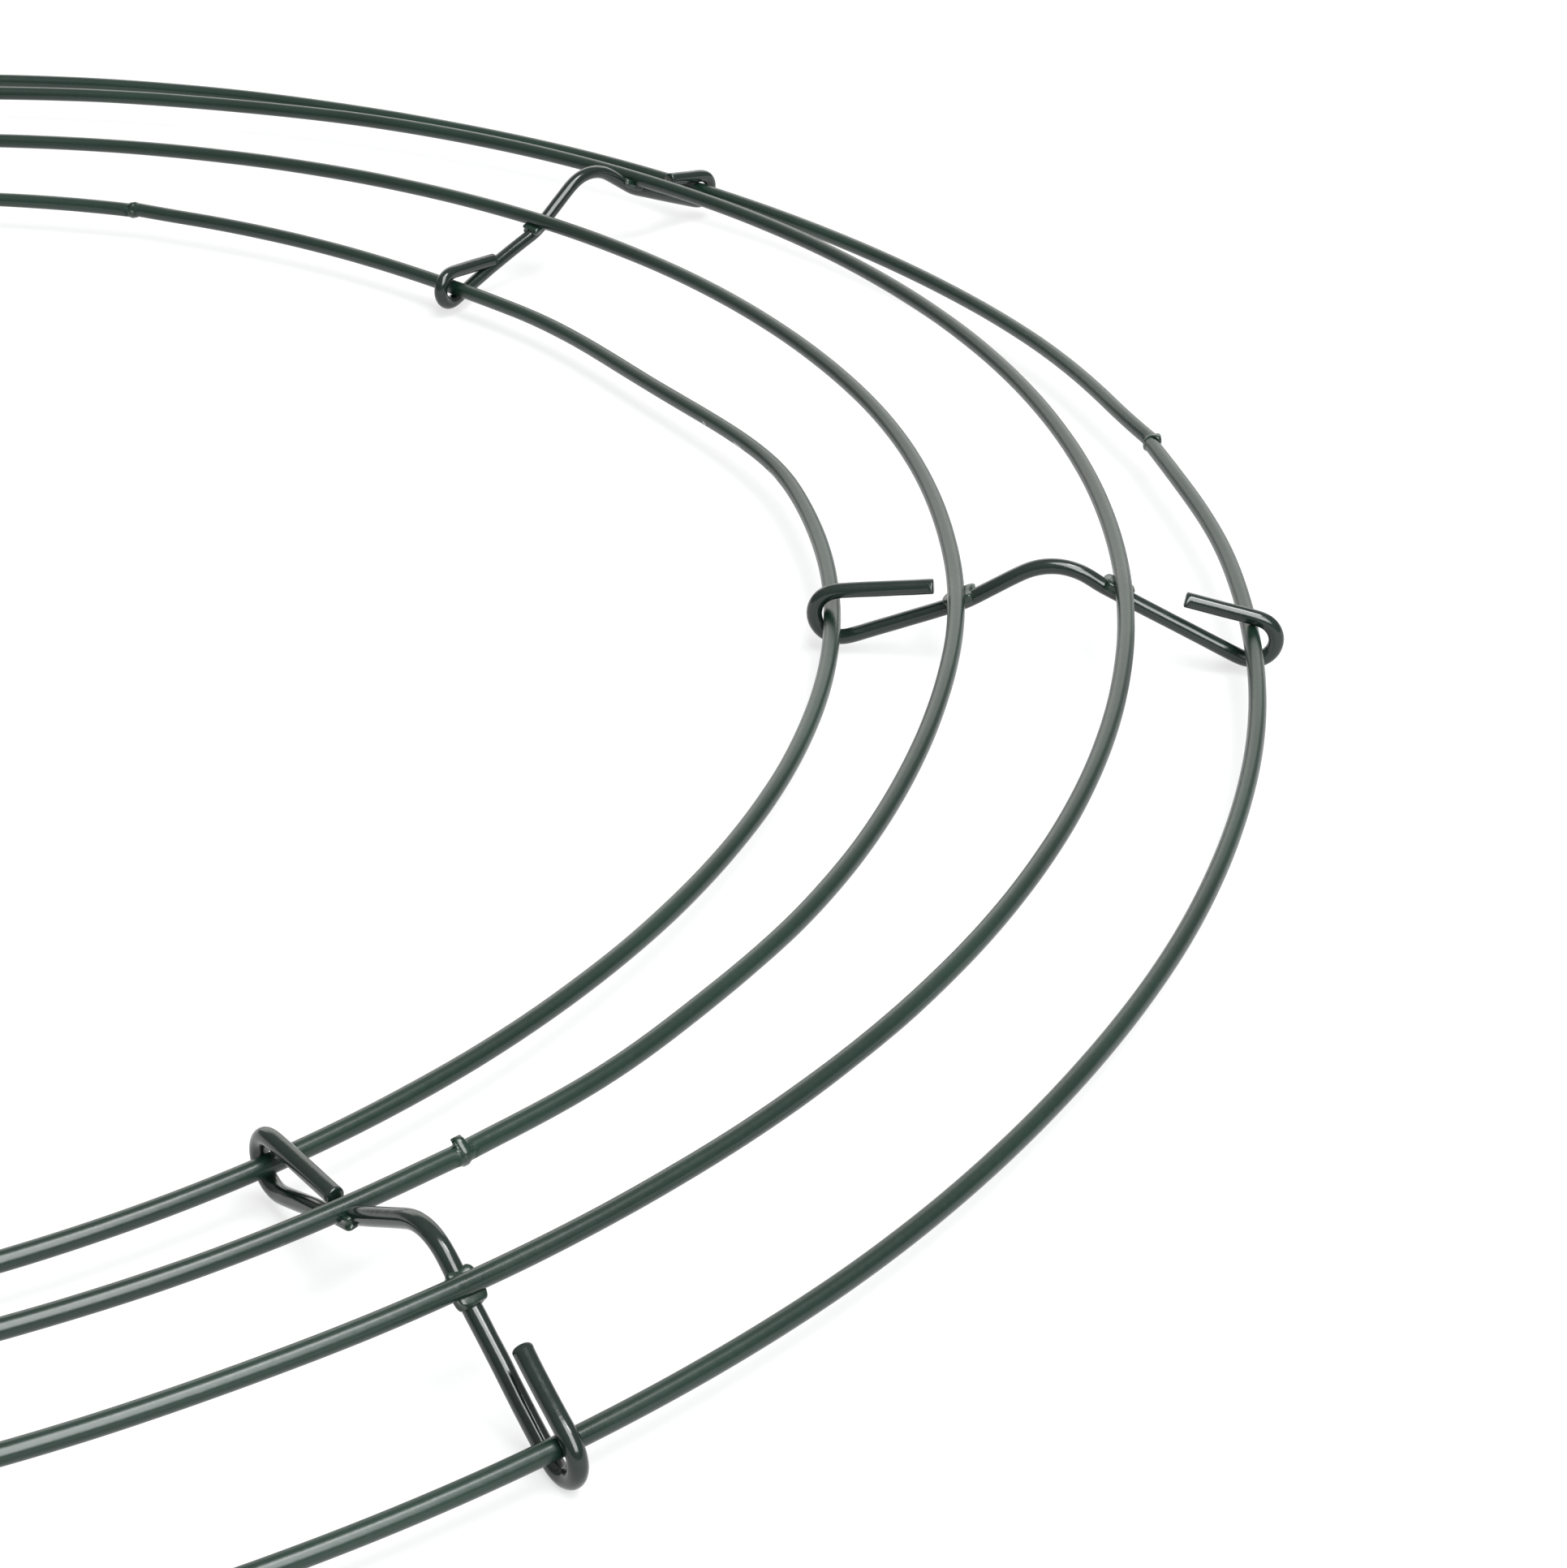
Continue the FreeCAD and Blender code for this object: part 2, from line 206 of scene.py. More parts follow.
def enamel(name, deep, thin, gloss_roughness):
    material = bpy.data.materials.new(name)
    material.use_nodes = True
    tree = material.node_tree
    tree.nodes.clear()

    drift = noise(tree, DRIFT_SCALE)
    mottle = noise(tree, MOTTLE_SCALE, detail=4.0, rough=0.65)
    peel = noise(tree, PEEL_SCALE)
    nibs = specks(tree, NIB_SCALE, NIB_SIZE)
    rub = painted(tree, "rub")
    pool_and_shade = painted(tree, "pool_and_shade")

    thinness = drift.between(0.35, 0.7) * 0.7 + mottle.between(0.45, 0.75) * 0.3
    # The pool value pulls the colour to the deep green: pooled enamel, and painted shade where
    # the parts touch.
    skin = blend(tree, thinness * (1 - pool_and_shade), deep, thin)
    worn = (rub * 1.3 + mottle * 0.9 - 0.95).between(*WEAR_EDGE)
    bright = (rub * 1.2 + mottle * 1.1 - 1.35).between(*WEAR_EDGE)
    primed = blend(tree, worn, skin, UNDERCOAT)
    surface = blend(tree, bright, primed, BARE_STEEL)

    roughness = gloss_roughness + mottle * 0.12 + worn * 0.2 - pool_and_shade * 0.05
    height = peel * 0.7 + nibs * 0.5 + mottle * 0.25 - worn * 0.6
    relief = Signal.node(
        tree,
        "ShaderNodeBump",
        None,
        {"Strength": PEEL_STRENGTH, "Distance": PEEL_DEPTH, "Height": height},
    )
    shader = Signal.node(
        tree,
        "ShaderNodeBsdfPrincipled",
        None,
        {
            "Base Color": surface,
            "Roughness": roughness,
            "Metallic": bright * 0.8,
            "Normal": relief,
            "IOR": ENAMEL_IOR,
        },
    )
    Signal.node(tree, "ShaderNodeOutputMaterial", None, {"Surface": shader})
    print(name, "uses", len(tree.nodes), "nodes")
    return material


ring_enamel = enamel(
    "ring_enamel", colour(0.0030, 0.0118, 0.0078), colour(0.0058, 0.0205, 0.0138), 0.25
)
cross_enamel = enamel(
    "cross_enamel", colour(0.0036, 0.0085, 0.0066), colour(0.0095, 0.0180, 0.0145), 0.10
)
weld_enamel = enamel(
    "weld_enamel", colour(0.0040, 0.014, 0.0090), colour(0.010, 0.026, 0.0165), 0.18
)

# %% [markdown]
# ## Sweeping a wire
#
# A wire is a circle carried along a line. Blender's own curve bevel would do that, but here
# the section has to change on the way: the enamel is a little thicker in places, and a tip is
# sheared square with only its edge rounded. So the stations are worked out with numpy, one
# circle of vertices each. Both kinds of wire lie almost in a plane, so the plane's normal
# steadies the circles and no twist builds up. A closed tip is a few more circles that shrink
# to a point. `TIP_PROFILE` says how far each of them lies past the end, and how large it is,
# both in wire radii.

# %% Stations along a wire
WIRE_SIDES = 20
TIP_PROFILE = [
    (0.0, 1.0),
    (0.10, 0.985),
    (0.19, 0.92),
    (0.24, 0.80),
    (0.26, 0.5),
    (0.265, 0.12),
]


def unit(vectors):
    return vectors / np.linalg.norm(vectors, axis=-1, keepdims=True)


def stations(path, plane_normal):
    """Unit vectors along the path, across it in its plane, and out of its plane."""
    along = unit(np.gradient(path, axis=0))
    across = unit(np.cross(plane_normal, along))
    return along, across, np.cross(along, across)


def add_tips(path, along, across, out, radius):
    """Square-cut ends with a rounded edge, as extra stations before and after."""
    ends = []
    for index, sign in ((0, -1.0), (-1, 1.0)):
        reach = np.array([step for step, _ in TIP_PROFILE])[:, None]
        scale = np.array([size for _, size in TIP_PROFILE])[:, None]
        bare = radius[index].mean()
        places = path[index] + sign * reach * bare * along[index]
        same = [np.repeat(vectors[index][None], len(reach), axis=0) for vectors in (across, out)]
        ends.append((places, same[0], same[1], scale * radius[index]))
    first, last = ends
    joined = []
    for part, middle in enumerate((path, across, out, radius)):
        joined.append(np.concatenate([first[part][::-1], middle, last[part]]))
    return joined


print("a wire has", WIRE_SIDES, "sides and", len(TIP_PROFILE), "circles to close each tip")

# %% [markdown]
# ## From stations to a mesh
#
# The vertices go in circle after circle, so the faces between two circles are found by
# counting. The values painted on the wire travel with the vertices as attributes, which the
# finish reads. A piece then gets its material, rides on the one body that this frame has, and
# stands for its node.

# %% Wire meshes
def tube_faces(count, sides):
    """Faces between neighbouring circles, and a fan over each tip."""
    faces = []
    for station in range(count - 1):
        for side in range(sides):
            a = station * sides + side
            b = station * sides + (side + 1) % sides
            faces.append((a, b, b + sides, a + sides))
    first_centre, last_centre = count * sides, count * sides + 1
    start = (count - 1) * sides
    for side in range(sides):
        beside = (side + 1) % sides
        faces.append((first_centre, beside, side))
        faces.append((last_centre, start + side, start + beside))
    return faces


def wire_mesh(name, path, plane_normal, radius, paint):
    """A swept wire with closed tips. Paint has a value per station, or per station and side."""
    along, across, out = stations(path, plane_normal)
    path, across, out, radius = add_tips(path, along, across, out, radius)
    sides = radius.shape[1]
    turn = np.linspace(0.0, 2 * math.pi, sides, endpoint=False)
    cosine, sine = np.cos(turn)[None, :, None], np.sin(turn)[None, :, None]
    circle = cosine * across[:, None] + sine * out[:, None]
    points = path[:, None] + radius[:, :, None] * circle
    vertices = np.concatenate([points.reshape(-1, 3), path[:1], path[-1:]])

    mesh = bpy.data.meshes.new(name)
    mesh.from_pydata(vertices.tolist(), [], tube_faces(len(path), sides))
    mesh.polygons.foreach_set("use_smooth", [True] * len(mesh.polygons))
    extra = len(TIP_PROFILE)
    for label, values in paint.items():
        attribute = mesh.attributes.new(label, "FLOAT", "POINT")
        if values.ndim == 1:
            values = np.repeat(values[:, None], sides, axis=1)
        ends = [np.repeat(values[:1], extra, axis=0), np.repeat(values[-1:], extra, axis=0)]
        stretched = np.concatenate([ends[0], values, ends[1]]).ravel()
        per_vertex = np.concatenate([stretched, stretched[:1], stretched[-1:]])
        attribute.data.foreach_set("value", per_vertex.astype(np.float32))
    mesh.update()
    return mesh


def add_piece(name, mesh, material, node):
    """Puts a mesh in the scene as the piece that stands for one node."""
    mesh.materials.append(material)
    piece = bpy.data.objects.new(name, mesh)
    bpy.context.scene.collection.objects.link(piece)
    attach(piece, "root")
    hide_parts(node)
    return piece


# %% [markdown]
# ## How true the rings are
#
# A ring bent by machine and handled since is never quite round or flat. Each ring is shifted
# and tipped a little, and has a few long, shallow bends: a direction, how far it reaches to
# either side, and how far it moves the wire outward and upward, in degrees and millimetres.
# The wire ends at a butt weld were not curled by the bending rolls, so the last few degrees
# of each end run straight, and the two ends meet at a slight angle and a slight step.
#
# In the table, `weld` and `straight_end` are in degrees, and the rest is in millimetres:
# `step` is outward and upward, `shift` moves the whole ring, and `tip` is how much higher the
# ring lies at 0 and at 90 degrees. `RING_LIFT` raises all four rings, so that the lowest hook
# of a frame that isn't flat just clears the floor.

# %% Habits of the rings
RING_HABITS = {
    "inner_ring": {
        "weld": 62.9,
        "straight_end": 4.0,
        "step": (-0.10, -0.25),
        "shift": (-0.2, -0.2, -0.5),
        "tip": (0.25, -0.45),
        "bends": [
            (-38, 36, -1.1, 0.0),
            (18, 15, -2.2, -0.3),
            (33, 32, -3.4, -0.7),
            (78, 26, 1.8, 0.2),
        ],
    },
    "second_ring": {
        "weld": 300.7,
        "straight_end": 2.0,
        "step": (0.10, 0.15),
        "shift": (-0.2, 0.3, 0.0),
        "tip": (0.2, 0.2),
        "bends": [
            (-26, 16, -0.55, 0.0),
            (-80, 12, -0.3, 0.0),
            (-53, 7, 0.45, 0.0),
            (5, 14, 0.3, 0.0),
        ],
    },
    "third_ring": {
        "weld": 170.0,
        "straight_end": 3.5,
        "step": (0.15, 0.10),
        "shift": (0.5, -0.1, 0.0),
        "tip": (0.25, -0.8),
        "bends": [(-80, 10, 0.4, 0.0), (62, 9, -0.4, 0.0)],
    },
    "outer_ring": {
        "weld": 2.9,
        "straight_end": 4.5,
        "step": (0.45, 0.10),
        "shift": (0.4, 0.0, 0.5),
        "tip": (-0.85, 1.4),
        "bends": [
            (-42, 14, -0.45, 0.0),
            (-20, 12, 0.4, 0.0),
            (-14, 28, 0.0, 0.9),
            (3, 12, -0.9, 0.0),
            (36, 36, -1.8, -0.8),
            (57, 16, -0.8, 0.0),
            (80, 14, 0.9, 0.0),
        ],
    },
}
RING_LIFT = 1.55 * MM
print("bends in each ring:", [len(RING_HABITS[node]["bends"]) for node in RING_NODES])

# %% [markdown]
# ## The line of a ring
#
# Every bend is one cosine hump, which starts and ends level, so bends can be added together
# without a kink between them. A straight end is the tangent of the circle, so its distance
# from the axis is the radius divided by a cosine.

# %% Ring shapes
def hump(distance):
    """1 at 0, falling smoothly to 0 at 1 and beyond."""
    return np.where(np.abs(distance) < 1, 0.5 + 0.5 * np.cos(math.pi * distance), 0.0)


def turn_from(angle, direction):
    """How far an angle is from a direction, in degrees from -180 to 180."""
    return (angle - direction + 180.0) % 360.0 - 180.0


def ring_line(ring, angle):
    """Points of a ring's centreline at these angles, in degrees."""
    habit = RING_HABITS[ring["node"]]
    turn = np.radians(angle)
    from_weld = turn_from(angle, habit["weld"])
    end = np.clip(habit["straight_end"] - np.abs(from_weld), 0.0, None)
    radius = ring["radius"] / np.cos(np.radians(end))
    step_out, step_up = habit["step"]
    side = np.sign(from_weld) * (end / habit["straight_end"]) ** 2 / 2
    radius = radius + side * step_out * MM
    tip_x, tip_y = habit["tip"]
    height = ring["height"] + RING_LIFT + side * step_up * MM
    height = height + (tip_x * np.cos(turn) + tip_y * np.sin(turn)) * MM
    for direction, reach, outward, upward in habit["bends"]:
        strength = hump(turn_from(angle, direction) / reach)
        radius = radius + strength * outward * MM
        height = height + strength * upward * MM
    circle = np.stack([radius * np.cos(turn), radius * np.sin(turn), height], axis=-1)
    return circle + np.array(habit["shift"]) * MM


for ring in rings:
    reach = np.linalg.norm(ring_line(ring, np.arange(0.0, 360.0, 5.0))[:, :2], axis=1) / MM
    print(ring["node"], "runs from", round(reach.min(), 1), "to", round(reach.max(), 1), "mm out")

# %% [markdown]
# ## An uneven skin
#
# A dipped wire is never quite round. Its radius wanders by a hundredth of a millimetre or
# two, slowly along the wire and slowly round it, and that breaks up a highlight as no bump map
# does. One seeded source of chance serves every piece, so each run gives the same frame.

# %% Unevenness
ENAMEL_UNEVENNESS = 0.012
KNOT_STATIONS, KNOT_SIDES = 6, 4
luck = np.random.default_rng(7)


def wander(count, sides, strength):
    """A slow, seeded unevenness: one row per station, nearly 1 everywhere."""
    knots = luck.normal(0.0, 1.0, (count // KNOT_STATIONS + 4, sides // KNOT_SIDES))
    along = np.linspace(0, len(knots) - 1.001, count)
    low = along.astype(int)
    part = (along - low)[:, None]
    rows = knots[low] * (1 - part) + knots[np.minimum(low + 1, len(knots) - 1)] * part
    spread = np.linspace(0, rows.shape[1], sides, endpoint=False)
    left = spread.astype(int)
    mix = spread - left
    right = (left + 1) % rows.shape[1]
    return 1 + strength * (rows[:, left] * (1 - mix) + rows[:, right] * mix)


# %% [markdown]
# ## The rings
#
# Each ring starts and ends at its weld, with its two square-cut tips almost touching. A
# station every millimetre and a half keeps the outline smooth in a close view. The vertices
# are painted with two values that the finish reads: a pool value near the cross wires, where
# the dip ran together and where the deeper green also stands for painted shade at each
# crossing, and `rub` at the weld and in a few chips.
#
# A cross wire is given by the direction it points in and by how much it is skewed, both in
# degrees. A chip is given by its direction on the ring and its reach, in degrees, then by the
# side of the wire that it is on (0 faces the middle of the wreath, 90 is up, 180 faces
# outward) and by its depth.

# %% Make the rings
STATION_SPACING = 1.5 * MM
HALF_GAP = 0.05 * MM
WELD_RUB, WELD_RUB_REACH = 0.30, 2 * MM
RING_POOL_SHADE_REACH = 5 * MM
CHIP_SPREAD = 60
UPWARD = np.array([0.0, 0.0, 1.0])
WIRE_DIRECTIONS = [
    (90.6, -3.0),
    (141.8, -4.0),
    (193.2, -1.0),
    (244.6, -3.0),
    (296.0, -1.5),
    (347.2, -6.3),
    (38.2, -5.5),
]
CHIPS = {
    "inner_ring": [(13.2, 0.7, 340.0, 1.2), (9.6, 2.6, 335.0, 1.0), (5.0, 2.6, 335.0, 1.15)],
    "second_ring": [(293.3, 0.3, 215.0, 1.2)],
    "outer_ring": [(314.6, 0.3, 205.0, 1.3)],
}


def make_ring(ring):
    habit = RING_HABITS[ring["node"]]
    count = int(2 * math.pi * ring["radius"] / STATION_SPACING)
    half_gap = math.degrees(HALF_GAP / ring["radius"])
    angle = np.linspace(habit["weld"] + half_gap, habit["weld"] + 360 - half_gap, count)
    path = ring_line(ring, angle)
    radius = wander(count, WIRE_SIDES, ENAMEL_UNEVENNESS) * (ring["wire"] / 2 + SKIN)
    degrees_per_metre = math.degrees(1 / ring["radius"])
    from_weld = turn_from(angle, habit["weld"])
    rub = hump(from_weld / (WELD_RUB_REACH * degrees_per_metre)) * WELD_RUB
    # Pooled enamel near every crossing, whose deeper green also paints the shade there.
    pool_and_shade = np.zeros(count)
    for direction, _ in WIRE_DIRECTIONS:
        pool_and_shade += hump(turn_from(angle, direction) / (RING_POOL_SHADE_REACH * degrees_per_metre))
    rub = np.repeat(rub[:, None], WIRE_SIDES, axis=1)
    side = np.linspace(0, 360, WIRE_SIDES, endpoint=False)
    for direction, reach, face, depth in CHIPS.get(ring["node"], []):
        along = hump(turn_from(angle, direction) / reach)[:, None]
        around = hump(turn_from(side, face) / CHIP_SPREAD)[None, :]
        rub = np.maximum(rub, depth * along * around)
    name = ring["node"] + "_enamelled"
    paint = {"rub": rub, "pool_and_shade": np.clip(pool_and_shade, 0, 1)}
    mesh = wire_mesh(name, path, UPWARD, radius, paint)
    return add_piece(name, mesh, ring_enamel, ring["node"])


for ring in rings:
    piece = make_ring(ring)
    print(piece.name, len(piece.data.polygons), "faces")

# %% [markdown]
# ## The butt welds
#
# Two wire ends are pressed together and fused by a current. The metal that squeezes out
# stands round the joint as a low, uneven collar with a sharper crest on one side and a lower
# one across from it. It is the same sweep with a radius that rises and falls, and its ends dip
# inside the wire, so that collar and wire meet without a gap. Each crest in the table has its
# side of the wire in degrees, and its height in millimetres.

# %% Make the butt welds
COLLAR_HALF = 1.1 * MM
COLLAR_SIDES = 24
COLLAR_STATIONS = 23
COLLAR_LUMPS = 0.03
COLLAR_TUCK = 0.10 * MM
SWELL, SWELL_SPREAD = 0.05, 0.40
RIDGE_SPREAD = 0.36
CREST_SPREAD = 32.0
COLLAR_RUB, COLLAR_POOL = 0.45, 0.4
BUTT_CRESTS = {
    "inner_ring": ((250.0, 0.30), (70.0, 0.15)),
    "second_ring": ((75.0, 0.75), (255.0, 0.22)),
    "third_ring": ((100.0, 0.40), (300.0, 0.20)),
    "outer_ring": ((140.0, 0.35), (320.0, 0.15)),
}


def make_butt_weld(ring):
    habit = RING_HABITS[ring["node"]]
    reach = math.degrees(COLLAR_HALF / ring["radius"])
    across_weld = np.linspace(-1.0, 1.0, COLLAR_STATIONS)
    path = ring_line(ring, habit["weld"] + across_weld * reach)
    turn = np.linspace(0, 2 * math.pi, COLLAR_SIDES, endpoint=False)
    swell = np.exp(-((across_weld / SWELL_SPREAD) ** 2))[:, None]
    ridge = np.exp(-((across_weld / RIDGE_SPREAD) ** 4))[:, None]
    proud = SWELL * swell
    for crest_at, crest_height in BUTT_CRESTS[ring["node"]]:
        crest = np.exp(-((turn_from(np.degrees(turn), crest_at) / CREST_SPREAD) ** 2))
        proud = proud + crest_height * ridge * crest[None, :]
    proud = proud * MM
    tuck = -COLLAR_TUCK * across_weld[:, None] ** 6
    lumps = wander(len(path), COLLAR_SIDES, COLLAR_LUMPS)
    radius = (ring["wire"] / 2 + SKIN + proud + tuck) * lumps
    name = ring["node"] + "_butt_weld_bead"
    paint = {"rub": COLLAR_RUB * ridge[:, 0], "pool_and_shade": np.full(len(path), COLLAR_POOL)}
    mesh = wire_mesh(name, path, UPWARD, radius, paint)
    return add_piece(name, mesh, weld_enamel, ring["node"] + "_butt_weld")


for ring in rings:
    print(make_butt_weld(ring).name)

# %% [markdown]
# ## The line of a cross wire
#
# In its own upright plane a cross wire is eleven stretches: tail, hook, leg, foot, rise,
# arch, fall, foot, leg, hook, tail. Each leg is the line that touches a hook's circle and the
# seat under a ring from below, so when a ring sits a little high or low, the leg follows it.
# That makes the wires fit rings that are not quite true, with no numbers to adjust.
#
# `BENDS` holds what a wire has when its habits say nothing else: bend radii, how far out the
# tips and the arch lie, slopes in degrees, and the rest in millimetres. A hook's `slack` is
# how far it stands off its ring, a `swing` moves a tail's tip out of the upright plane, a
# `stray` does so for the inner hook, and a `bow` for the middle of the wire.

# %% Sizes of the bends
BENDS = {
    "inner_bend": 2.7,
    "outer_bend": 2.6,
    "inner_tail_tip": 163.5,
    "inner_tail_slope": 5.0,
    "outer_tail_tip": 195.0,
    "outer_tail_slope": 16.0,
    "arch_radius": 7.0,
    "arch_middle": 177.6,
    "arch_lift": 3.1,
    "rise_slope": 36.0,
    "fall_slope": 36.0,
    "foot_bend": 4.0,
    "inner_slack": 0.0,
    "outer_slack": 0.0,
    "bow": 0.0,
    "inner_stray": 0.0,
    "inner_swing": 0.0,
    "outer_swing": 0.0,
}
SET_DOWN = 0.3 * MM
HOOK_BITE = 0.1 * MM
LEAST_FALL = math.radians(8.0)
CONTACT = (RING_WIRE + CROSS_WIRE) / 2 + 2 * SKIN
SEAT = CONTACT - SET_DOWN
print("from ring centre to cross wire centre:", round(SEAT / MM, 2), "mm at a weld")

# %% [markdown]
# ## Lines that touch circles
#
# A bent wire is straight lines and arcs that run into each other without a corner. Four small
# helpers are enough to lay one out: the slope of a line that touches two circles, the points
# where it touches them, where two lines meet, and the little arc that rounds off their corner.

# %% Geometry of the bends
def tangent_slope(left, left_radius, right, right_radius):
    """Slope of the line that touches two circles from below."""
    across, up = right - left
    spread = math.asin((left_radius - right_radius) / math.hypot(across, up))
    return math.atan2(up, across) + spread


def below(centre, radius, slope):
    return centre + radius * np.array([math.sin(slope), -math.cos(slope)])


def above(centre, radius, slope):
    return centre - radius * np.array([math.sin(slope), -math.cos(slope)])


def meeting(first, first_slope, second, second_slope):
    """Where two lines meet, each given by a point and its slope."""
    a, b = math.tan(first_slope), math.tan(second_slope)
    x = (second[1] - first[1] + a * first[0] - b * second[0]) / (a - b)
    return np.array([x, first[1] + a * (x - first[0])])


def foot(corner, slope_in, slope_out, radius):
    """A small upward bend at a corner: start, centre, end."""
    reach = radius * math.tan((slope_out - slope_in) / 2)
    start = corner - reach * np.array([math.cos(slope_in), math.sin(slope_in)])
    end = corner + reach * np.array([math.cos(slope_out), math.sin(slope_out)])
    return start, above(start, radius, slope_in), end


# %% [markdown]
# ## One cross wire, laid out
#
# The four ring centres come in, and the tails' tips, the five arcs and the two seats come
# out. All of it is flat: the first number is the distance from the axis, the second the
# height. An arc is its start, its centre, its end and its sense.

# %% Outline of a cross wire
def outline(centres, bends):
    """The tips, arcs and seats of a cross wire round these four ring centres."""
    inner, second, third, outer = centres
    b = {key: value * MM for key, value in bends.items() if "slope" not in key}
    outer_tail = math.radians(-bends["outer_tail_slope"])
    inner_tail = math.radians(bends["inner_tail_slope"])
    rise = math.radians(bends["rise_slope"])
    inner_offset = b["inner_bend"] - CONTACT + HOOK_BITE - b["inner_slack"]
    inner_hook = inner + np.array([inner_offset, 0.0])
    outer_hook = below(outer, b["outer_bend"] - CONTACT + HOOK_BITE, outer_tail)
    outer_hook = outer_hook + np.array([b["outer_slack"], 0.0])
    crown_top = (second[1] + third[1]) / 2 + b["arch_lift"]
    crown = np.array([b["arch_middle"], crown_top - b["arch_radius"]])

    inner_leg = tangent_slope(inner_hook, b["inner_bend"], second, SEAT)
    outer_leg = tangent_slope(third, SEAT, outer_hook, b["outer_bend"])
    fall = max(math.radians(bends["fall_slope"]), LEAST_FALL - outer_leg)
    inner_top = above(inner_hook, b["inner_bend"], inner_tail)
    inner_under = below(inner_hook, b["inner_bend"], inner_leg)
    outer_under = below(outer_hook, b["outer_bend"], outer_leg)
    outer_top = above(outer_hook, b["outer_bend"], outer_tail)
    rise_end = above(crown, b["arch_radius"], rise)
    fall_start = above(crown, b["arch_radius"], -fall)
    inner_corner = meeting(inner_under, inner_leg, rise_end, rise)
    outer_corner = meeting(outer_under, outer_leg, fall_start, -fall)
    inner_foot = foot(inner_corner, inner_leg, rise, b["foot_bend"])
    outer_foot = foot(outer_corner, -fall, outer_leg, b["foot_bend"])

    def tail_tip(root, slope, reach):
        return root + np.array([1.0, math.tan(slope)]) * (reach - root[0])

    arcs = [
        (inner_top, inner_hook, inner_under, 1),
        inner_foot + (1,),
        (rise_end, crown, fall_start, -1),
        outer_foot + (1,),
        (outer_under, outer_hook, outer_top, 1),
    ]
    first = tail_tip(inner_top, inner_tail, b["inner_tail_tip"])
    last = tail_tip(outer_top, outer_tail, b["outer_tail_tip"])
    seats = [
        (below(second, RING_WIRE / 2, inner_leg), inner_leg),
        (below(third, RING_WIRE / 2, outer_leg), outer_leg),
    ]
    return first, arcs, last, seats


def arc_points(start, centre, end, sense, spacing):
    """Points along an arc. sense is 1 for anticlockwise and -1 for clockwise."""
    spoke = start - centre
    first = math.atan2(spoke[1], spoke[0])
    last = math.atan2(end[1] - centre[1], end[0] - centre[0])
    sweep = ((last - first) * sense) % (2 * math.pi)
    radius = math.hypot(*spoke)
    steps = max(3, int(radius * sweep / spacing))
    angle = first + sense * np.linspace(0, sweep, steps)
    return centre + radius * np.stack([np.cos(angle), np.sin(angle)], axis=-1)


def line_points(start, end, spacing):
    steps = max(2, int(np.linalg.norm(end - start) / spacing))
    return start + (end - start) * np.linspace(0, 1, steps)[:, None]


# %% [markdown]
# ## The cross wires
#
# The seven wires come off one bending tool, but hand work and handling leave each of them a
# little different. A habit is a value that differs from `BENDS`, in the same units, and each
# wire has its own set of habits, in the order of their numbers.

# %% Habits of the cross wires
WIRE_HABITS = [{} for _ in WIRE_DIRECTIONS]
WIRE_HABITS[0] = {"inner_tail_slope": 8.0, "arch_lift": 3.4, "outer_tail_tip": 194.2}
WIRE_HABITS[1] = {"inner_tail_slope": 3.0, "arch_middle": 178.1, "outer_tail_slope": 19.0}
WIRE_HABITS[2] = {"inner_tail_tip": 162.4, "arch_lift": 2.8, "outer_swing": 0.6}
WIRE_HABITS[3] = {"inner_swing": -0.7, "inner_tail_slope": 7.0, "outer_tail_slope": 12.0}
WIRE_HABITS[4] = {
    "inner_bend": 3.15,
    "inner_slack": 0.6,
    "inner_tail_slope": 1.0,
    "inner_tail_tip": 163.0,
    "bow": 0.6,
    "outer_bend": 2.9,
    "outer_swing": 0.8,
    "outer_tail_slope": 23.0,
    "outer_tail_tip": 194.6,
    "arch_lift": 3.7,
    "arch_middle": 179.0,
    "arch_radius": 6.0,
    "rise_slope": 28.0,
    "foot_bend": 6.0,
}
WIRE_HABITS[5] = {
    "inner_bend": 3.3,
    "inner_slack": 0.4,
    "inner_tail_slope": 6.0,
    "inner_tail_tip": 162.6,
    "outer_bend": 3.0,
    "outer_slack": 0.6,
    "outer_tail_slope": 13.0,
    "outer_tail_tip": 194.6,
    "arch_lift": 2.9,
    "arch_middle": 178.0,
    "arch_radius": 8.0,
    "rise_slope": 32.0,
}
WIRE_HABITS[6] = {
    "inner_bend": 2.4,
    "inner_tail_slope": -6.0,
    "inner_tail_tip": 156.4,
    "inner_slack": 0.8,
    "inner_stray": -1.0,
    "outer_bend": 2.2,
    "outer_slack": 0.8,
    "outer_tail_slope": 10.0,
    "outer_tail_tip": 194.6,
    "arch_lift": 3.9,
    "arch_middle": 177.2,
}
print("habits of each cross wire:", [len(habit) for habit in WIRE_HABITS])

# %% [markdown]
# ## Where a cross wire stands
#
# Each wire stands in its own upright plane: turned to its direction, then a little askew
# about the middle of the band. Where that plane cuts a ring is found by walking round the
# ring until the sideways distance is nothing.

# %% The upright plane of a cross wire
MIDDLE = (rings[0]["radius"] + rings[3]["radius"]) / 2
PLANE_SEARCH_STEPS = 8


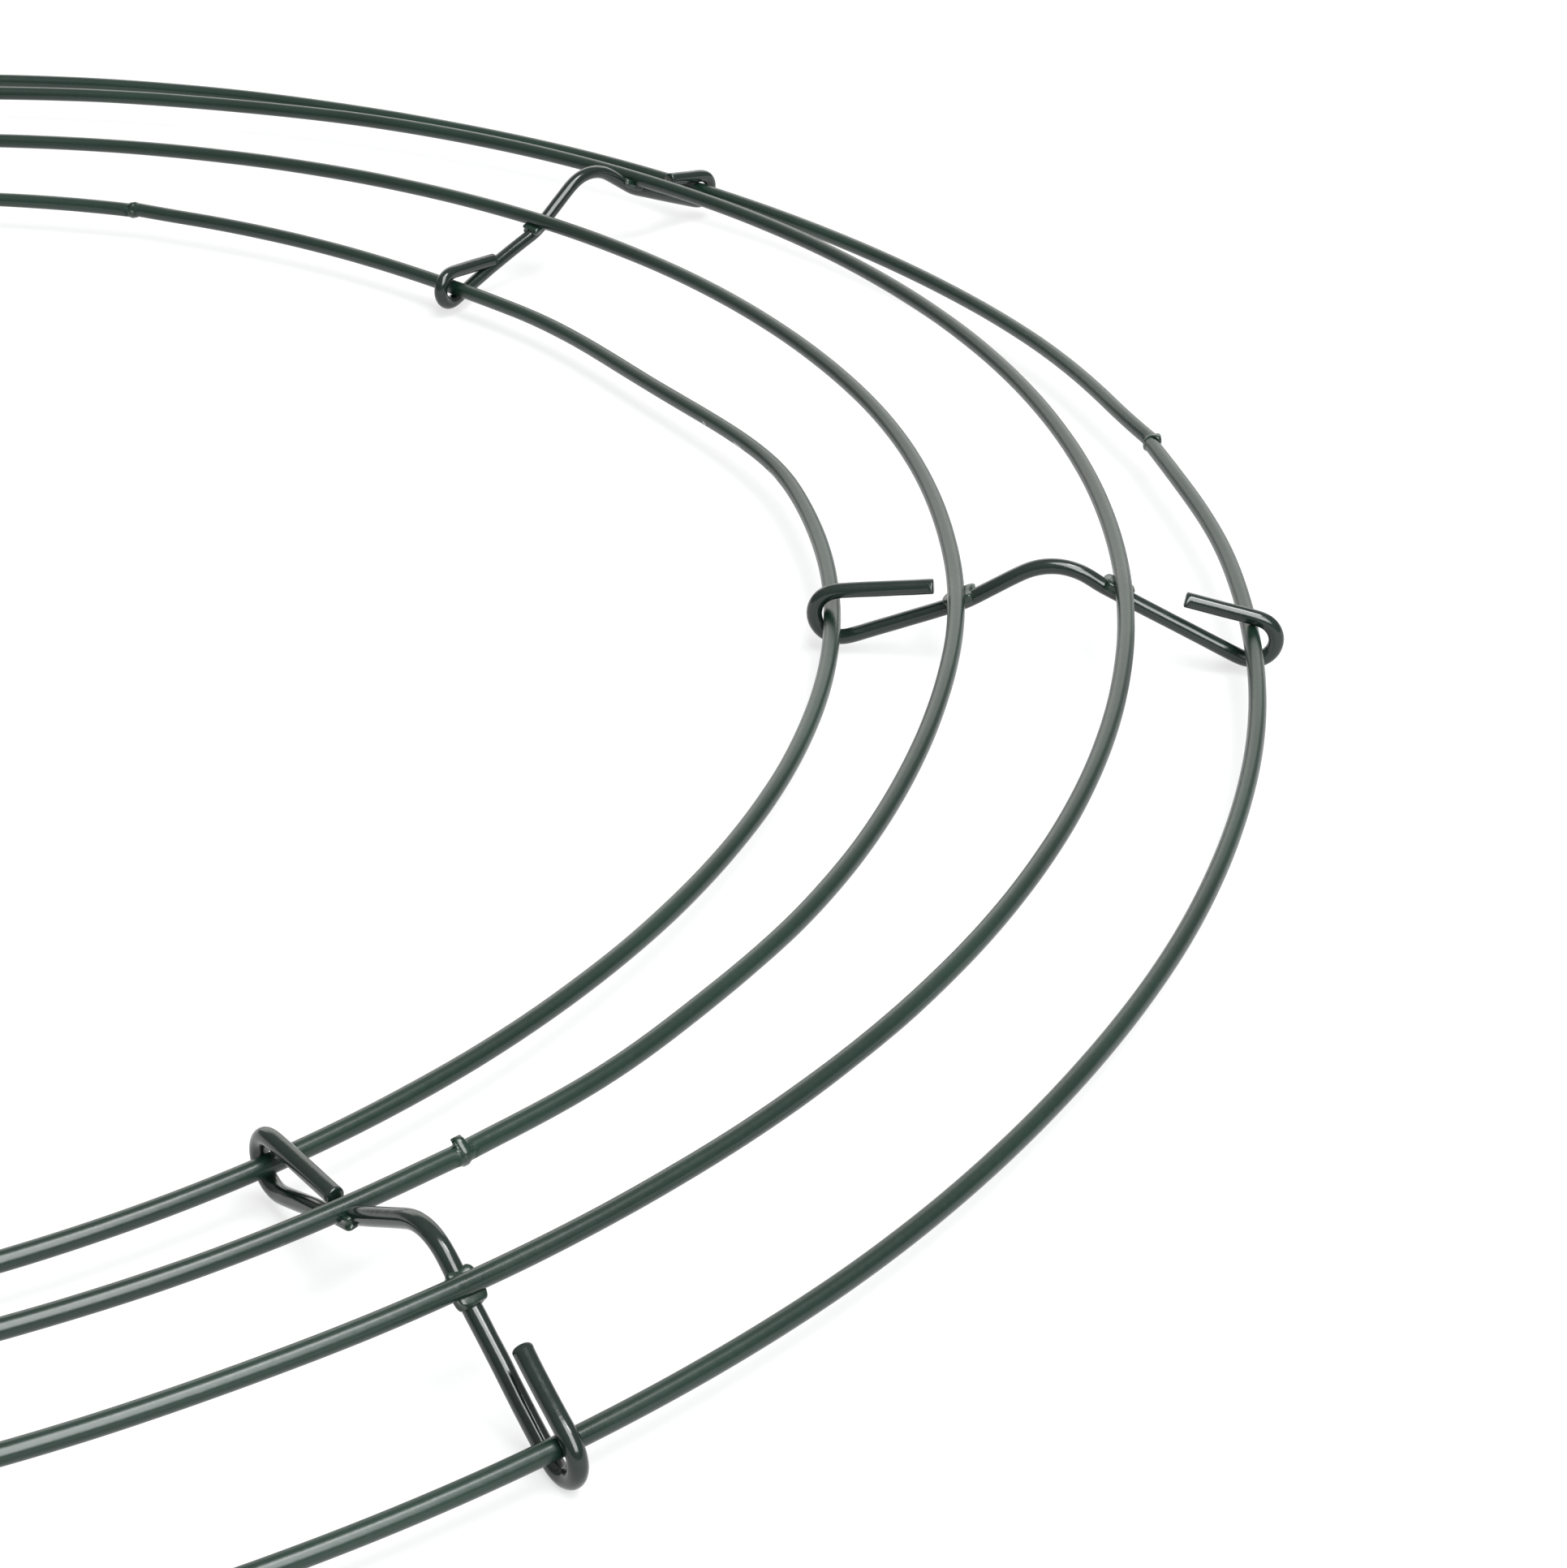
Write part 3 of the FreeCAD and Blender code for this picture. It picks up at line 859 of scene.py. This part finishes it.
class Stand:
    """The upright plane of one cross wire."""

    def __init__(self, direction, skew):
        self.direction = direction
        outward = math.radians(direction)
        lie = math.radians(direction + skew)
        self.along = np.array([math.cos(lie), math.sin(lie), 0.0])
        self.aside = np.array([-math.sin(lie), math.cos(lie), 0.0])
        pivot = MIDDLE * np.array([math.cos(outward), math.sin(outward), 0.0])
        self.origin = pivot - MIDDLE * self.along

    def to_plane(self, point):
        """Distance along the plane, sideways distance, height."""
        offset = point - self.origin
        return np.array([offset @ self.along, offset @ self.aside, offset[2]])

    def to_space(self, flat, sideways):
        place = self.origin + flat[:, :1] * self.along + sideways[:, None] * self.aside
        place[:, 2] += flat[:, 1]
        return place

    def ring_centre(self, ring):
        """Where this plane cuts the ring's centreline, in the plane."""
        angle = self.direction
        for _ in range(PLANE_SEARCH_STEPS):
            here = self.to_plane(ring_line(ring, np.array([angle]))[0])
            angle -= math.degrees(here[1] / ring["radius"])
        return here[[0, 2]]


# %% [markdown]
# ## Soft starts to the bends
#
# A wire that is bent over a former doesn't pass from straight to round at one point: it
# springs back a little, and the curve comes on over a millimetre or two. The outline is
# walked in even steps and averaged with a narrow hump, which does just that. Past the two
# tips the line is continued by its own mirror image, so the averaging leaves the tips alone.

# %% Ease the bends
WIRE_SPACING = 0.4 * MM
EASE = 1.6 * MM
BOW_MIDDLE = 183 * MM
BOW_REACH = 19 * MM


def walked(line):
    """How far along the line each of its points is."""
    return np.concatenate([[0.0], np.cumsum(np.linalg.norm(np.diff(line, axis=0), axis=1))])


def eased(flat):
    """The same line in even steps, with the start and end of every bend drawn out a little."""
    length = walked(flat)
    places = np.linspace(0, length[-1], int(length[-1] / WIRE_SPACING))
    even = np.stack([np.interp(places, length, flat[:, i]) for i in range(2)], axis=-1)
    half = int(EASE / WIRE_SPACING)
    weight = hump(np.linspace(-1, 1, 2 * half + 3)[1:-1])
    before = 2 * even[0] - even[half:0:-1]
    after = 2 * even[-1] - even[-2 : -half - 2 : -1]
    longer = np.concatenate([before, even, after])
    weight = weight / weight.sum()
    smooth = [np.convolve(longer[:, i], weight, "valid") for i in range(2)]
    return np.stack(smooth, axis=-1)


def bow(reach, bends):
    """How far the middle of a cross wire leans out of its plane, at this reach."""
    return bends["bow"] * MM * hump((reach - BOW_MIDDLE) / BOW_REACH)


# %% [markdown]
# ## Making the cross wires
#
# The flat line is eased, moved out of its plane where the habits say so, and stood up. The
# tails may swing aside by a millimetre or so, as a bender leaves them. The sheared tips are
# rubbed, and the enamel pools under the two middle rings, where its deeper green is also
# painted shade under the rings. Each wire hands on its seats: where it is welded, how it
# slopes there and how far it has moved aside.

# %% Make the cross wires
STRAY_REACH = 15 * MM
TIP_RUB, TIP_RUB_REACH = 0.35, 1.2 * MM
SEAT_POOL_SHADE_REACH = 4 * MM


def make_cross_wire(number, direction, skew, habit):
    bends = {**BENDS, **habit}
    stand = Stand(direction, skew)
    first, arcs, last, seats = outline([stand.ring_centre(ring) for ring in rings], bends)
    runs = []
    here = first
    for start, centre, end, sense in arcs:
        runs.append(line_points(here, start, WIRE_SPACING)[:-1])
        runs.append(arc_points(start, centre, end, sense, WIRE_SPACING)[:-1])
        here = end
    runs.append(line_points(here, last, WIRE_SPACING))
    inner_bend_at = walked(runs[0])[-1]
    flat = eased(np.concatenate(runs))
    length = walked(flat)
    outer_bend_at = length[-1] - walked(runs[-1])[-1]
    inner_lean = np.clip(1 - length / inner_bend_at, 0, 1)
    outer_lean = np.clip((length - outer_bend_at) / (length[-1] - outer_bend_at), 0, 1)
    inner_part = np.clip((seats[0][0][0] - flat[:, 0]) / STRAY_REACH, 0, None)
    sideways = bends["inner_swing"] * inner_lean + bends["outer_swing"] * outer_lean
    sideways += bends["inner_stray"] * inner_part**2
    sideways = sideways * MM + bow(flat[:, 0], bends)
    path = stand.to_space(flat, sideways)

    count = len(path)
    from_tip = np.minimum(length, length[-1] - length)
    rub = hump(from_tip / TIP_RUB_REACH) * TIP_RUB
    # Pooled enamel at the two seats, whose deeper green also paints the shade under the middle
    # rings.
    pool_and_shade = np.zeros(count)
    for place, _ in seats:
        pool_and_shade += hump(np.linalg.norm(flat - place, axis=1) / SEAT_POOL_SHADE_REACH)
    radius = wander(count, WIRE_SIDES, ENAMEL_UNEVENNESS) * (CROSS_WIRE / 2 + SKIN)
    node = "cross_wire_%d" % number
    name = node + "_enamelled"
    paint = {"rub": rub, "pool_and_shade": np.clip(pool_and_shade, 0, 1)}
    mesh = wire_mesh(name, path, -stand.aside, radius, paint)
    piece = add_piece(name, mesh, cross_enamel, node)
    return piece, stand, [(place, slope, bow(place[0], bends)) for place, slope in seats]


cross_wires = []
for index, (direction, skew) in enumerate(WIRE_DIRECTIONS):
    made = make_cross_wire(index + 1, direction, skew, WIRE_HABITS[index])
    cross_wires.append(made)
    print(made[0].name, len(made[0].data.polygons), "faces")

# %% [markdown]
# ## The weld nuggets
#
# A spot weld squeezes a little metal out between the two wires. It freezes as a squarish
# burr that shows on both sides of the ring and a little beyond the cross wire's width. A
# rounded block does for it: a block's faces are divided finely and each vertex is pulled
# towards a superellipsoid, which is boxier than a ball, and then pushed about by a seeded
# ripple, so that no two burrs are alike.

# %% A finely divided block
def block_grid(cuts):
    """Vertices and faces of a cube from -1 to 1 whose faces are finely divided."""
    steps = np.linspace(-1, 1, cuts + 1)
    places = {}
    faces = []

    def corner(point):
        key = tuple(int(round(value * cuts)) for value in point)
        return places.setdefault(key, len(places))

    for axis in range(3):
        for side in (-1.0, 1.0):
            for i in range(cuts):
                for j in range(cuts):
                    square = []
                    for di, dj in ((0, 0), (1, 0), (1, 1), (0, 1)):
                        point = [0.0, 0.0, 0.0]
                        point[axis] = side
                        point[(axis + 1) % 3] = steps[i + di]
                        point[(axis + 2) % 3] = steps[j + dj]
                        square.append(corner(point))
                    faces.append(square if side > 0 else square[::-1])
    return np.array(list(places), float) / cuts, faces


# %% [markdown]
# ## Setting the nuggets in place
#
# A nugget lies along its cross wire, at the seat that the wire handed on, and leans with it.
# Its own axes are the wire's direction, the sideways direction and the one that is square to
# both, so one matrix product turns all of its vertices.

# %% Make the weld nuggets
NUGGET_HALF = (1.95 * MM, 1.5 * MM, 0.7 * MM)
NUGGET_CUTS = 10
NUGGET_SQUARENESS = 7.0
RIPPLES, RIPPLE_HEIGHT, RIPPLE_TIGHTNESS = 5, 0.045, 2.2
NUGGET_RUB, NUGGET_POOL_SHADE = 0.40, 0.5


def nugget_mesh(name):
    points, faces = block_grid(NUGGET_CUTS)
    power = NUGGET_SQUARENESS
    length = (np.abs(points) ** power).sum(axis=1) ** (1 / power)
    points = points / length[:, None]
    ripple = np.ones(len(points))
    for _ in range(RIPPLES):
        lean = luck.normal(0.0, RIPPLE_TIGHTNESS, 3)
        ripple += RIPPLE_HEIGHT * np.sin(points @ lean + luck.uniform(0, 6))
    points = points * ripple[:, None] * np.array(NUGGET_HALF)
    mesh = bpy.data.meshes.new(name)
    mesh.from_pydata(points.tolist(), [], faces)
    mesh.polygons.foreach_set("use_smooth", [True] * len(mesh.polygons))
    edge = np.abs(points[:, 0]) / NUGGET_HALF[0]
    # The whole burr gets the pooled, deeper green, which also paints the shade between ring and
    # cross wire.
    paint = {"rub": NUGGET_RUB * edge**4, "pool_and_shade": np.full(len(points), NUGGET_POOL_SHADE)}
    for label, values in paint.items():
        attribute = mesh.attributes.new(label, "FLOAT", "POINT")
        attribute.data.foreach_set("value", values.astype(np.float32))
    return mesh


def make_nugget(ring_node, number, stand, seat):
    place, slope, aside = seat
    name = "%s_weld_%d" % (ring_node, number)
    mesh = nugget_mesh(name + "_burr")
    along = stand.along * math.cos(slope) + np.array([0, 0, math.sin(slope)])
    up = np.cross(along, stand.aside)
    axes = np.stack([along, stand.aside, up])
    local = np.array([vertex.co for vertex in mesh.vertices])
    centre = stand.to_space(place[None], np.array([aside]))[0]
    moved = centre + local @ axes
    mesh.vertices.foreach_set("co", moved.ravel().astype(np.float32))
    mesh.update()
    return add_piece(name + "_burr", mesh, weld_enamel, name)


for number, (_, stand, seats) in enumerate(cross_wires, start=1):
    for ring_node, seat in zip(("second_ring", "third_ring"), seats):
        make_nugget(ring_node, number, stand, seat)
print("weld nuggets:", 2 * len(cross_wires))

# %% [markdown]
# ## Floor and light
#
# The frame lies on a plain, pale table that is lit from within, so that hardly a shadow
# shows beside such thin wire. It is a grey sheet that also gives off white light: the mirror
# image of it in the enamel is what keeps the undersides of the wires from going black.

# %% Floor
FLOOR_HALF = 3.0
FLOOR_GREY, FLOOR_GLOW, FLOOR_ROUGHNESS = 0.25, 0.62, 0.9


def make_floor():
    half = FLOOR_HALF
    mesh = bpy.data.meshes.new("pale_floor")
    corners = [(-half, -half, 0), (half, -half, 0), (half, half, 0), (-half, half, 0)]
    mesh.from_pydata(corners, [], [(0, 1, 2, 3)])
    floor = bpy.data.objects.new("pale_floor", mesh)
    bpy.context.scene.collection.objects.link(floor)
    material = bpy.data.materials.new("floor_paper")
    material.use_nodes = True
    shader = material.node_tree.nodes["Principled BSDF"]
    shader.inputs["Base Color"].default_value = colour(FLOOR_GREY, FLOOR_GREY, FLOOR_GREY)
    shader.inputs["Emission Color"].default_value = colour(1.0, 1.0, 1.0)
    shader.inputs["Emission Strength"].default_value = FLOOR_GLOW
    shader.inputs["Roughness"].default_value = FLOOR_ROUGHNESS
    mesh.materials.append(material)
    return floor


print("floor:", make_floor().name, "is", 2 * FLOOR_HALF, "m wide")

# %% [markdown]
# ## Soft lights
#
# Shiny round wire shows its surroundings as long, thin streaks, so the lights are placed by
# the streaks they make. A tall softbox in front, a little to the right, draws the quiet light
# along the near rings. A wide, weak sheet behind brightens the far sides. A small strip
# overhead picks out the tops of the cross wires. A light's radiance is what a mirror in its
# beam would show, so a light can be made larger without the streak growing brighter.

# %% Lights
LIGHT_AIM = Vector((0.1, 0.0, 0.0))


def add_soft_light(name, direction, height, distance, wide, tall, radiance, tint):
    """A softbox that faces the frame. The two angles are in degrees, the rest in metres."""
    turn, rise = math.radians(direction), math.radians(height)
    level = math.cos(rise)
    away = Vector((level * math.cos(turn), level * math.sin(turn), math.sin(rise)))
    light = bpy.data.lights.new(name, "AREA")
    light.shape = "RECTANGLE"
    light.size = wide
    light.size_y = tall
    light.energy = radiance * math.pi * wide * tall
    light.color = tint
    lamp = bpy.data.objects.new(name, light)
    lamp.location = LIGHT_AIM + distance * away
    lamp.rotation_euler = (-away).to_track_quat("-Z", "Y").to_euler()
    bpy.context.scene.collection.objects.link(lamp)


add_soft_light("front_softbox", -72.5, 52.0, 1.6, 0.95, 1.9, 9.5, (0.97, 1.0, 1.0))
add_soft_light("top_strip", -28.0, 66.0, 1.6, 0.35, 0.45, 14.0, (1.0, 1.0, 1.0))
add_soft_light("back_sheet", 83.0, 21.0, 1.9, 2.8, 1.1, 1.6, (1.0, 1.0, 0.96))

# %% [markdown]
# ## Pale surroundings
#
# Between the lights the enamel mirrors the room. A pale room that is dimmer at the horizon
# than overhead leaves the sides of a wire darker than its crest, which is what makes it read
# as round. The standard view keeps the dark greens as they are given above.

# %% Surroundings
HORIZON, ZENITH = 0.34, 0.58
HORIZON_TOP = 0.1

world = bpy.data.worlds.new("studio")
world.use_nodes = True
sky = world.node_tree
height = Signal.node(sky, "ShaderNodeTexCoord", output="Generated")
height = Signal.node(sky, "ShaderNodeSeparateXYZ", None, {"Vector": height}, output="Z")
strength = height.between(HORIZON_TOP, 1.0) * (ZENITH - HORIZON) + HORIZON
strength.tree.links.new(strength.socket, sky.nodes["Background"].inputs["Strength"])
sky.nodes["Background"].inputs["Color"].default_value = colour(1.0, 1.0, 1.0)
bpy.context.scene.world = world
bpy.context.scene.view_settings.view_transform = "Standard"
print("surroundings:", HORIZON, "at the horizon and", ZENITH, "overhead")

# %% [markdown]
# ## Camera
#
# The camera looks down on the front right of the frame at about 30 degrees, from less than
# half a metre, through a long lens. The near rings look twice as far apart as the far ones.
# Its place and aim are in millimetres, and rise with the rings.

# %% Camera
LENS, SENSOR_WIDTH = 84.5, 36.0
CAMERA_PLACE = Vector((54.8, -436.74, 217.32)) * MM + Vector((0, 0, RING_LIFT))
CAMERA_AIM = Vector((131.8, -72.0, 4.2)) * MM + Vector((0, 0, RING_LIFT))
CAMERA_ROLL = math.radians(-0.35)

lens = bpy.data.cameras.new("camera")
lens.sensor_width = SENSOR_WIDTH
lens.lens = LENS
camera = bpy.data.objects.new("camera", lens)
camera.location = CAMERA_PLACE
look = (CAMERA_AIM - CAMERA_PLACE).to_track_quat("-Z", "Y")
camera.rotation_mode = "QUATERNION"
camera.rotation_quaternion = look @ Quaternion((0, 0, 1), CAMERA_ROLL)
bpy.context.scene.collection.objects.link(camera)
bpy.context.scene.camera = camera
look_down = math.degrees(math.asin((CAMERA_PLACE - CAMERA_AIM).normalized().z))
print("camera looks down at", round(look_down, 1), "degrees")
